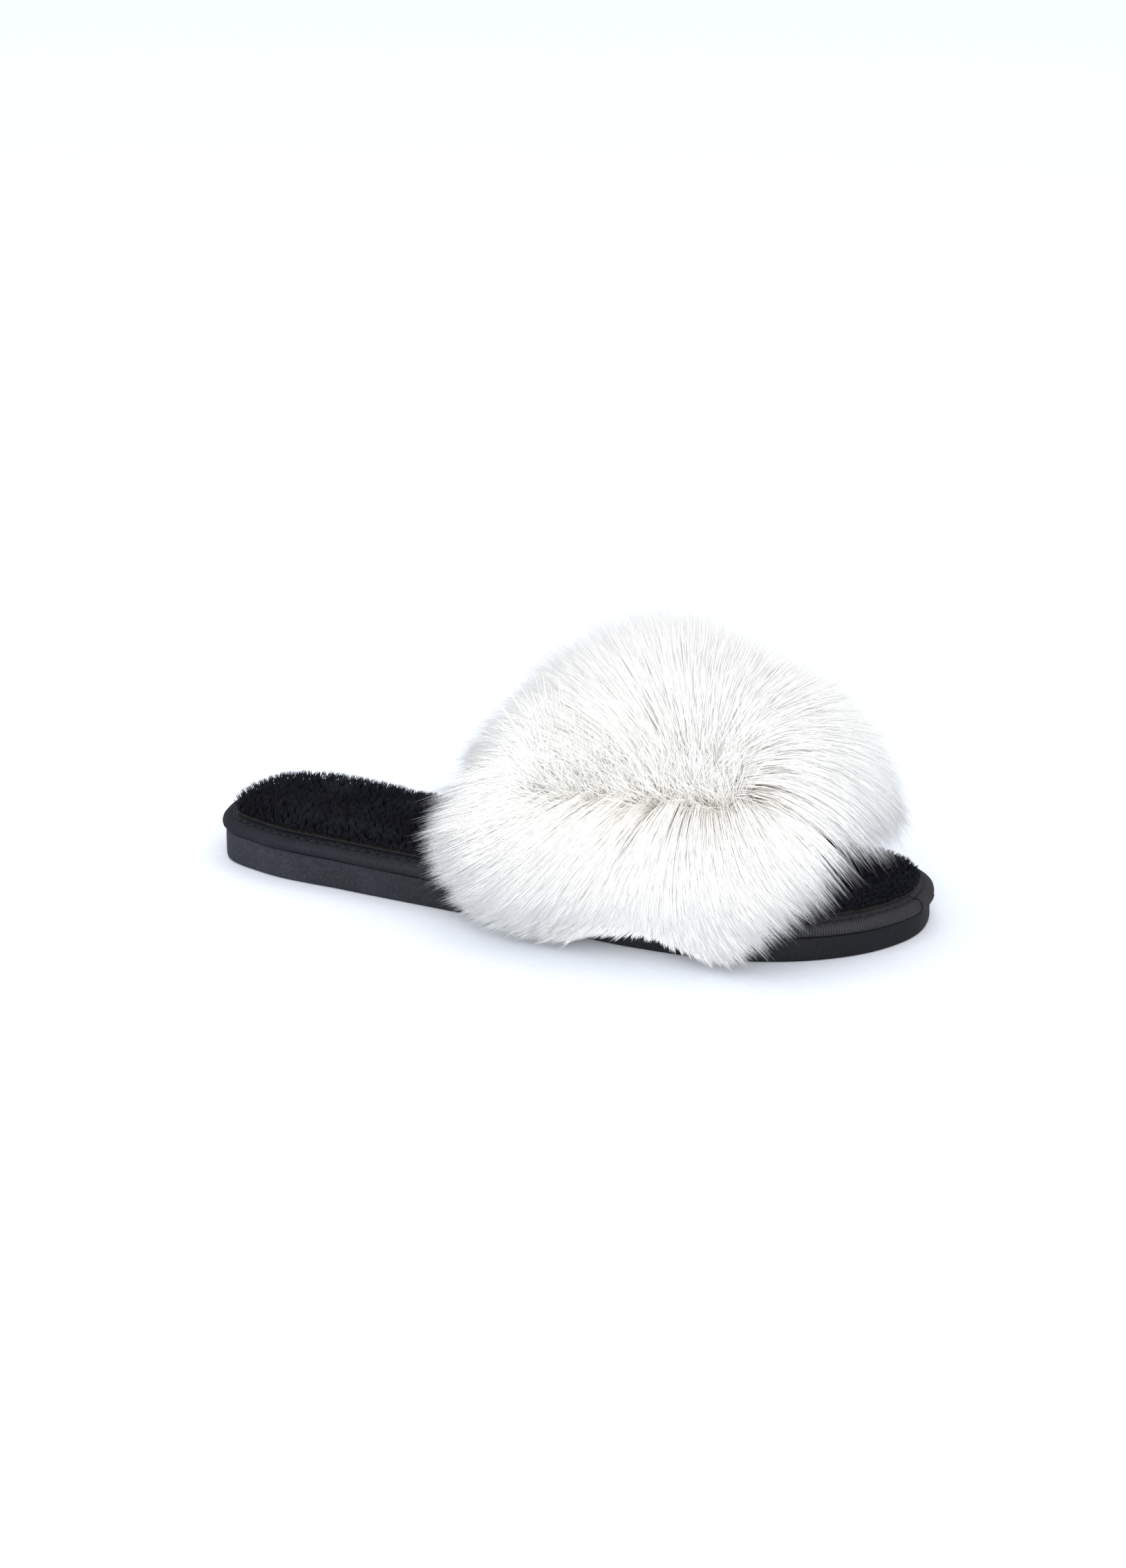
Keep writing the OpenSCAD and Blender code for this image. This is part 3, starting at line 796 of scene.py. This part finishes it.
def make_insole():
    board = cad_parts["insole_board"]
    board.data.materials.clear()
    board.data.materials.append(M_BOARD)
    foam = pad("cushion_pad", [M_CUSHION],
               [(4.2, 2.65), (3.5, 2.8), (3.3, 3.1), (3.6, 3.45), (5.2, 3.6), (8.6, 3.62), (8.9, 4.6), (9.3, 5.3), (10.2, 5.7)],
               np.linspace(0.96, 0.06, 14), 0.15)
    add(foam, "cushion_foam", slot="cushion")
    base = pad("plush_ground_pad", [M_PLUSH_BASE],
               [(10.0, 5.85), (7.7, 5.62), (6.7, 5.56), (5.9, 5.76), (5.2, 6.05), (5.2, 6.55), (6.0, 6.95), (7.6, 7.2)],
               np.linspace(0.97, 0.04, 40), 0.35, n=480, bump=0.35)
    add(base, "insole_plush", slot="black_plush")

    n = 74000
    a, b = r2(n)
    x = -131 + 262 * a
    y = -50 + 102 * b
    p, nn, _, _ = ring(400)
    lim = p + 5.3 * nn
    keep = inside(x, y, lim)
    x, y = x[keep], y[keep]
    m = len(x)
    rng = np.random.default_rng(11)
    pts = np.c_[x, y, np.zeros(m)]
    # distance in from the bound edge, for the rolled rim
    tree = KDTree(len(p))
    for i, q in enumerate(p):
        tree.insert((q[0], q[1], 0), i)
    tree.balance()
    near = [tree.find(q) for q in pts]
    dist = np.array([h[2] for h in near])
    outw = -nn[np.array([h[1] for h in near])]
    rim = np.clip((11.0 - dist) / 5.0, 0, 1)
    z0 = 6.9 - 0.55 * rim**2 + 0.25 * noise3(pts, 5.0, 1)
    root = on_sole(np.c_[x, y, z0])
    # tufts: fibres lean together in small locks
    gx, gy = r2(5200, 0.2)
    guides = np.c_[-131 + 262 * gx, -50 + 102 * gy, np.zeros(5200)]
    k = near_guides(pts, guides)
    g = guides[k]
    lean = np.stack([0.30 + 0.5 * noise3(g, 11.0, 21), 0.5 * noise3(g, 11.0, 22)], -1)
    lean += 0.45 * np.stack([noise3(g, 24.0, 27), noise3(g, 24.0, 28)], -1)
    lean += rng.normal(size=(5200, 2))[k] * 0.22
    lean += rng.normal(size=(m, 2)) * 0.13
    lean += outw * (rim**2)[:, None] * 1.1
    d = unit(np.c_[lean, np.full(m, 1.0)])
    L = (3.6 + 0.4 * noise3(g, 7.0, 23) + 0.2 * rng.random(5200)[k] + 1.3 * np.clip((-30 - x) / 50, 0, 1)) * (0.86 + 0.18 * rng.random(m)) * (1 - 0.12 * rim)
    up = np.array([0, 0, 1.0])
    p1 = root + unit(0.75 * up + 0.25 * d) * (0.5 * L)[:, None]
    tip = p1 + unit(d + 0.12 * rng.normal(size=(m, 3))) * (0.55 * L)[:, None]
    # pull the tips of a lock together
    gc = np.zeros((5200, 3))
    cnt = np.maximum(np.bincount(k, minlength=5200), 1)
    for c in range(3):
        gc[:, c] = np.bincount(k, tip[:, c], minlength=5200) / cnt
    tip = tip + (gc[k] - tip) * 0.5
    P = bezier(root, p1, tip, np.array([0, 0.5, 1.0]))
    tone = np.clip(0.45 + 0.45 * noise3(g, 9.0, 24) + 0.25 * (rng.random(5200)[k] - 0.5) + 0.1 * rng.normal(size=m), 0.01, 0.99)
    order = np.argsort(x)
    for ob in strands("plush_pile", P[order], np.array([0.20, 0.17, 0.03]), tone[order], [M_PLUSH], 5, 19000):
        add(ob, slot="black_plush")
    print("plush strands", m)


# ------------------------------------------------------------------- strap
def spw(v, e=0.88):
    return np.sign(v) * np.abs(v) ** e


def path(x, q):
    """(y, z) of the lining's inner face at station x and path place q, 0 to 34."""
    x, q = np.broadcast_arrays(np.asarray(x, float), np.asarray(q, float))
    yo, yi = y_out(x) - 0.4, y_in(x) + 0.4
    zt = top_z(x) + 0.1
    yc, w, zb = (yo + yi) / 2, (yi - yo) / 2, zt + 1.3
    h = 57 + (50 - 57) * (x - 8) / 73 - zb
    a = np.clip(math.pi * (q - 5) / 24, 0, math.pi)
    y = yc - w * spw(np.cos(a)) + 4 * np.sin(a) ** 2
    z = zb + h * spw(np.sin(a))
    for edge, sgn, qq in ((yo, 1, q), (yi, -1, 34 - q)):
        ang = np.radians(np.clip(30 * (qq - 2), 0, 90))
        yk = edge + sgn * (1.3 - 1.3 * np.sin(ang))
        zk = zb - 1.3 * np.cos(ang)
        flat = edge + sgn * np.where(qq < 1, 14 - 7 * qq, 7 - 5.7 * (qq - 1))
        y = np.where(qq < 2, flat, np.where(qq < 5, yk, y))
        z = np.where(qq < 2, zt, np.where(qq < 5, zk, z))
    return y, z


def path_n(x, q):
    e = 0.12
    y0, z0 = path(x, np.maximum(q - e, 0))
    y1, z1 = path(x, np.minimum(q + e, 34))
    t = unit(np.stack([y1 - y0, z1 - z0], -1))
    return -t[..., 1], t[..., 0]


def x_rear(s):
    return -7 - 3 * s + 17 * np.sin(np.pi * s)


def x_front(s):
    return 72 + 10 * s + 2 * np.sin(np.pi * s)


def strap(q, u, off, dx=0.0):
    s = q / 34
    x = x_rear(s) + (x_front(s) - x_rear(s)) * u + dx
    y, z = path(x, q)
    ny, nz = path_n(x, q)
    return np.stack([x, y + off * ny, z + off * nz], -1)


QS = np.concatenate([np.linspace(0, 2, 8)[:-1], np.linspace(2, 5, 8)[:-1], np.linspace(5, 29, 97),
                     np.linspace(29, 32, 8)[1:], np.linspace(32, 34, 8)[1:]])


def rampq(q):
    return np.clip(np.minimum(q - 5, 29 - q) / 3, 0, 1)


def layer(name, section, qs, mats, sharp=45):
    """A closed strap layer: section(q) gives matching lists u, off, dx round its cross-section."""
    rows = []
    for q in qs:
        u, off, dx = section(q)
        rows.append(strap(np.full(len(u), q), np.array(u), np.array(off), np.array(dx)))
    V = np.array(rows)
    n, m, _ = V.shape
    F = [grid_faces(n, m, close_v=True), np.arange(m)[None], (np.arange(m)[::-1] + (n - 1) * m)[None]]
    return build(name, V.reshape(-1, 3), F, mats, sharp=sharp)


UU = np.linspace(0, 1, 19)


def sec_lining(q):
    """Cloth with both edges rolled outward over the foam."""
    R = 0.5 + 1.5 * rampq(q)
    th = np.linspace(0, math.pi * 0.92, 9)[1:]
    u = list(UU) + [1.0] * 8 + [1.0] * 8 + list(UU[::-1]) + [0.0] * 8 + [0.0] * 8
    wave = 0.04 * math.sin(q * 2.1)
    o_in = [0.0] * 19
    o_edge = [R - R * math.cos(t) for t in th]
    d_edge = [R * math.sin(t) + 0.05 for t in th]
    r = max(R - 0.85, 0.06)
    i_edge = [R - r * math.cos(t) for t in th[::-1]]
    e_edge = [r * math.sin(t) + 0.05 for t in th[::-1]]
    off = o_in + o_edge + i_edge + [0.88] * 19 + [R - r * math.cos(t) for t in th] + o_edge[::-1]
    dx = [0.0] * 19 + d_edge + e_edge + [0.0] * 19 + [-(r * math.sin(t) + 0.05) for t in th] + [-d for d in d_edge[::-1]]
    return u, np.array(off) + wave * 0, dx


def sec_flat(lo, hi, ins=0.0, bulge=0.0):
    def f(q):
        a, b = lo(q), hi(q)
        h = (b - a) / 2
        c = (a + b) / 2
        th = np.linspace(-math.pi / 2, math.pi / 2, 7)
        d1 = [ins * -1 + bulge * math.cos(t) for t in th]
        u = list(UU) + [1.0] * 7 + list(UU[::-1]) + [0.0] * 7
        off = [a] * 19 + [c + h * math.sin(t) for t in th] + [b] * 19 + [c - h * math.sin(t) for t in th]
        dx = [0.0] * 19 + d1 + [0.0] * 19 + [-d for d in d1]
        # keep the flat part inside the rounded edges
        dx = np.array(dx)
        uu = np.array(u)
        dx = dx - np.where((np.arange(len(u)) < 19) | ((np.arange(len(u)) >= 26) & (np.arange(len(u)) < 45)), (uu * 2 - 1) * ins, 0)
        return u, np.array(off), dx
    return f


def foam_top(q):
    return 1.3 + 2.7 * rampq(q)


def back_lo(q):
    return np.where((q >= 5) & (q <= 29), foam_top(q) + 0.1, 1.0)


def make_strap():
    lining = layer("strap_lining_cloth", sec_lining, QS, [M_LINING])
    add(lining, "strap_lining", slot="lining_cloth")
    arch = np.linspace(5, 29, 97)
    core = layer("strap_foam_core", sec_flat(lambda v: 1.0, lambda v: float(foam_top(v)) - 0.02, 0.4, 0.3), arch, [M_STRAPFOAM])
    add(core, "strap_foam", slot="cushion")
    backing = layer("fur_backing_cloth", sec_flat(lambda v: float(back_lo(v)), lambda v: float(back_lo(v)) + 0.9, 0.3, 0.4), QS, [M_BACKING])
    add(backing, "fur_backing", slot="backing_knit")
    # stitches through the lining near both strap edges
    c, t, up = [], [], []
    for u in (0.035, 0.965):
        qq = np.linspace(5, 29, 2000)
        line = strap(qq, np.full(2000, u), -0.12)
        acc = np.r_[0, np.cumsum(np.linalg.norm(np.diff(line, axis=0), axis=1))]
        want = np.arange(12, acc[-1] - 12, 5.0)
        qi = np.interp(want, acc, qq)
        a = strap(qi, np.full(len(qi), u), -0.12)
        b = strap(qi + 0.05, np.full(len(qi), u), -0.12)
        o = strap(qi, np.full(len(qi), u), 1.0)
        c.append(a)
        t.append(unit(b - a))
        up.append(unit(a - o))
    c, t, up = map(np.concatenate, (c, t, up))
    up = unit(up - t * (up * t).sum(-1, keepdims=True))
    st = capsules("strap_stitch_rows", c, t, up, 3.0, 0.22, [M_LIGHT_THREAD], bow=0.3)
    add(st, "strap_edge_stitches", slot="light_thread")


# ---------------------------------------------------------------------- fur
FUR_N = 145000


def smooth(x):
    x = np.clip(x, 0, 1)
    return x * x * (3 - 2 * x)


# Where the longest fibres end, by their place on the backing: each row is one station from the heel-side edge (0)
# to the toe-side edge (1), each column one station round the arch.
STATIONS = [0, 0.12, 0.3, 0.5, 0.7, 0.86, 0.92, 0.98]
DOWN_Q = [5, 7, 9, 11, 13.5]
DOWN_TIPS = np.array([
    [(-14, -54, 6), (-28, -51, 17), (-30, -48, 28), (-34, -42, 40), (-33, -32, 49)],
    [(-4, -56, 3), (-20, -58, 11), (-25, -58, 22), (-25, -54, 36), (-22, -44, 52)],
    [(12, -60, 1), (6, -66, 5), (3, -69, 14), (2, -69, 27), (2, -62, 46)],
    [(36, -59, 8), (34, -65, 12), (32, -70, 18), (31, -72, 28), (32, -69, 44)],
    [(57, -59, 8), (63, -64, 11), (66, -69, 17), (68, -70, 27), (71, -66, 44)],
    [(73, -58, 2), (84, -61, 6), (91, -62, 15), (95, -60, 26), (98, -54, 40)],
    [(78, -57, 2), (95, -57, 6), (104, -56, 16), (110, -50, 26), (113, -42, 34)],
    [(83, -56, 2), (97, -53, 6), (104, -50, 16), (114, -38, 25), (119, -25, 26)]], float)
UP_Q = [11, 13, 15, 17, 19, 21, 24, 29]
UP_TIPS = np.array([
    [(-27, -36, 46), (-27, -24, 47), (-28, -10, 46), (-28, 4, 44), (-28, 18, 41), (-28, 30, 38), (-27, 42, 28), (-14, 52, 6)],
    [(-16, -46, 61), (-19, -32, 68), (-19, -14, 76), (-19, 4, 76), (-17, 20, 69), (-16, 34, 60), (-18, 47, 42), (-6, 55, 7)],
    [(2, -56, 70), (4, -42, 84), (7, -22, 95), (9, 0, 98), (10, 20, 93), (9, 38, 80), (6, 53, 54), (10, 57, 8)],
    [(36, -60, 72), (38, -48, 89), (42, -24, 107), (43, -2, 111), (42, 20, 105), (42, 40, 88), (43, 59, 58), (40, 60, 9)],
    [(70, -59, 66), (73, -46, 81), (76, -24, 97), (77, 0, 100), (77, 22, 95), (77, 40, 83), (74, 57, 55), (66, 60, 8)],
    [(96, -52, 54), (101, -42, 67), (106, -22, 81), (108, 0, 84), (107, 20, 79), (104, 38, 67), (97, 53, 45), (84, 58, 7)],
    [(112, -47, 36), (118, -36, 46), (123, -18, 58), (124, 1, 61), (121, 18, 56), (116, 36, 44), (107, 50, 32), (89, 56, 6)],
    [(115, -37, 24), (119, -21, 25), (121, -7, 26), (121, 6, 26), (117, 17, 28), (112, 30, 27), (106, 43, 24), (92, 54, 5)]],
    float)


def tips(table, stations, q, u):
    """The table read at any place, smoothed over its neighbours."""
    out = 0
    for dq, du in ((0, 0), (0.7, 0.035), (-0.7, -0.035), (0.7, -0.035), (-0.7, 0.035)):
        a = np.interp(q + dq, stations, np.arange(len(stations)))
        b = np.interp(u + du, STATIONS, np.arange(len(STATIONS)))
        i, j = np.minimum(b.astype(int), len(STATIONS) - 2), np.minimum(a.astype(int), len(stations) - 2)
        f, g = (b - i)[:, None], (a - j)[:, None]
        out = out + ((table[i, j] * (1 - g) + table[i, j + 1] * g) * (1 - f)
                     + (table[i + 1, j] * (1 - g) + table[i + 1, j + 1] * g) * f)
    return out / 5


def parting(u):
    return 11.6 + 1.7 * u                    # it runs along the outer shoulder


def make_fur():
    rng = np.random.default_rng(7)
    # even spread of roots over the outside of the strap
    q = np.linspace(5.02, 28.98, 1200)
    mid = strap(q, np.full(1200, 0.5), 4.0)
    ds = np.r_[0, np.linalg.norm(np.diff(mid[:, 1:], axis=0), axis=1)]
    s = q / 34
    w = ds * (x_front(s) - x_rear(s))
    cdf = np.cumsum(w) / w.sum()

    def place(n, seed):
        a, b = r2(n, seed)
        b = np.clip(0.45 * b + 0.55 * (0.5 - 0.5 * np.cos(math.pi * b)), 0.0, 1.0)   # denser at the edges
        qq = np.interp(a, cdf, q)
        off = back_lo(qq) + 0.75
        pos = strap(qq, b, off)
        inner = strap(qq, b, off - 1.0)
        return qq, b, pos, unit(pos - inner)

    Q, U, R, N = place(FUR_N, 0.5)
    NG = 9000
    GQ, GU, GR, GN = place(NG, 0.31)
    k = near_guides(R, GR)

    tt = np.array([0.0, 0.28, 0.54, 0.78, 1.0])

    def grow(Q, U, R, N, part, fill, spread, lf, seed):
        """Fibres above the parting go up and over, those below it go down, a few short ones fill it."""
        r = np.random.default_rng(seed)
        m = len(Q)
        ue = U ** (1 + 0.32 * smooth((17.5 - Q) / 3.0))       # the outer side fans out from nearer the toe
        T = np.where((Q > part)[:, None], tips(UP_TIPS, UP_Q, Q, ue), tips(DOWN_TIPS, DOWN_Q, Q, ue))
        F = R + 25.0 * N + 8.0 * r.normal(size=(m, 3))
        T = np.where(fill[:, None], F, T)
        T = R + (T - R) * lf[:, None]
        L = np.linalg.norm(T - R, axis=1)
        big = np.stack([noise3(R, 15.0, 31 + c) for c in range(3)], -1)
        T = T + (4.0 * big + spread * r.normal(size=(m, 3))) * (L / 42.0)[:, None]
        e = unit(T - R)
        p1 = R + unit(0.62 * N + 0.62 * e) * (0.50 * L)[:, None]
        return bezier(R, p1, T, tt), L

    glf = 0.94 + 0.12 * rng.random(NG) - 0.16 * rng.random(NG) * smooth((9.5 - GQ) / 3.0)   # ragged hem
    gpart = parting(GU) + 0.75 * rng.normal(size=NG)
    gfill = (np.abs(GQ - parting(GU)) < 1.8) & (rng.random(NG) < 0.42)
    GP, _ = grow(GQ, GU, GR, GN, gpart, gfill, 2.6, glf, 41)
    lf = glf[k] * (0.70 + 0.32 * rng.random(FUR_N) ** 0.6)
    P, L = grow(Q, U, R, N, gpart[k], gfill[k], 2.2, lf, 42)
    # locks: fibres close in on their lock's own line towards the tip
    gx, gz = GP[:, -1, 0], GP[:, -1, 2]
    fringe = np.maximum(smooth((20.0 - gz) / 12.0), 0.8 * smooth((-14.0 - gx) / 12.0))
    fringe = np.maximum(fringe, 0.75 * smooth((gx - 100.0) / 10.0) * smooth((40.0 - gz) / 12.0))
    c = (0.06 + 0.16 * rng.random(NG) + 0.56 * fringe)[k]
    pull = c[:, None] * tt[None, :] ** 1.3
    rel = (R - GR[k])[:, None] * (1 - 0.72 * tt[None, :, None])
    frac = np.clip(lf / glf[k], 0, 1)
    target = GP[k] * 1.0
    # a shorter fibre follows only the lower part of its lock's line
    for i in range(1, 5):
        f = tt[i] * frac
        j = np.clip(np.searchsorted(tt, f, side="right") - 1, 0, 3)
        a = (f - tt[j]) / (tt[j + 1] - tt[j])
        idx = np.arange(FUR_N)
        target[:, i] = GP[k][idx, j] * (1 - a)[:, None] + GP[k][idx, j + 1] * a[:, None]
    P = P + (target + rel - P) * pull[..., None]
    # slight waves
    ph = rng.random((FUR_N, 3)) * 6.283
    amp = (0.10 + 0.40 * rng.random(FUR_N))[:, None, None] * tt[None, :, None] ** 1.2
    P = P + amp * np.sin(tt[None, :, None] * 6.0 + ph[:, None, :])

    # keep clear of the foot bed and the ground
    x, y, z = P[..., 0], P[..., 1], P[..., 2]
    over = (x < 130) & (x > -130) & (y > y_out(x) - 1.0) & (y < y_in(x) + 1.0)
    floor_z = np.where(over, top_z(x) + 9.6 + 1.0 * tt[None], 0.35)
    root_low = R[:, None, 2] < floor_z
    push = np.clip(floor_z - z, 0, None)
    outside = over & root_low                      # roots below the plush stay outside the foot bed
    y_side = np.where(y < 0, y_out(x) - 1.2, y_in(x) + 1.2)
    y = np.where(outside, y_side, y)
    z = np.where(outside, z, z + push)
    z = np.maximum(z, 0.35)
    lo, hi = CAD_BOX
    P = np.stack([x, np.clip(y, lo.y * 1000 - 6, hi.y * 1000 + 6), np.minimum(z, hi.z * 1000 + 4)], -1)

    rad = np.array([0.10, 0.10, 0.095, 0.08, 0.028])
    width = (0.85 + 0.3 * rng.random(FUR_N))[:, None] * rad[None]
    tone = 0.5 + 0.35 * noise3(GR[k], 16.0, 51) + 0.22 * (rng.random(NG)[k] - 0.5) + 0.10 * rng.normal(size=FUR_N)
    tone = np.clip(tone, 0.01, 0.99)
    order = np.argsort(Q, kind="stable")
    made = strands("fur", P[order], width[order], tone[order], [M_FUR], 8, 9000)
    for i, ob in enumerate(made):
        add(ob, *(["fur_pile"] if i == 0 else []), slot="white_fur")
    print("fur box", P.reshape(-1, 3).min(0).round(1), P.reshape(-1, 3).max(0).round(1), "pieces", len(made))


make_outsole()
make_binding()
make_insole()
make_strap()
make_fur()

# ------------------------------------------------------------ floor and light
floor_mat = Mat("studio_floor", Roughness=0.9, Specular_IOR_Level=0.1)
_v = floor_mat.coords()
_n = floor_mat.noise(_v, 240, 4, 0.6)
floor_mat.set("Base Color", floor_mat.ramp(_n, [(0.3, (0.80, 0.84, 0.915, 1)), (0.7, (0.83, 0.865, 0.935, 1))]))
floor_mat.set("Normal", floor_mat.bump(_n, 0.12, 0.0006))
me = bpy.data.meshes.new("studio_floor")
H = 14.0
me.from_pydata([(-H, -H, 0), (H, -H, 0), (H, H, 0), (-H, H, 0)], [], [(0, 1, 2, 3)])
me.materials.append(floor_mat.m)
floor = bpy.data.objects.new("studio_floor", me)
bpy.context.scene.collection.objects.link(floor)

world = bpy.data.worlds.new("studio")
bpy.context.scene.world = world
world.use_nodes = True
bg = world.node_tree.nodes["Background"]
bg.inputs["Color"].default_value = (0.985, 0.993, 1.0, 1)
bg.inputs["Strength"].default_value = 1.10


def area(name, loc, target, size, power, color=(1, 1, 1)):
    d = bpy.data.lights.new(name, "AREA")
    d.shape, d.size, d.energy, d.color = "DISK", size, power, color
    o = bpy.data.objects.new(name, d)
    o.location = loc
    o.rotation_mode = "QUATERNION"
    o.rotation_quaternion = (Vector(target) - Vector(loc)).to_track_quat("-Z", "Y")
    bpy.context.scene.collection.objects.link(o)
    return o


area("front_fill", (1.05, -2.2, 1.0), (0.0, 0.0, 0.03), 1.4, 32, (1.0, 1.0, 0.995))
area("low_front", (0.8, -2.3, 0.28), (0.0, 0.0, 0.03), 1.0, 29, (1.0, 0.998, 0.99))
area("left_fill", (-1.6, -1.2, 0.6), (0.0, 0.0, 0.03), 1.2, 6, (0.98, 0.99, 1.0))
area("top_back", (-0.4, 0.9, 1.6), (0.0, 0.0, 0.03), 1.2, 2, (1.0, 1.0, 0.99))

scene = bpy.context.scene
scene.view_settings.view_transform = "Standard"
scene.view_settings.look = "None"
scene.cycles.max_bounces = 14
scene.cycles.diffuse_bounces = 12
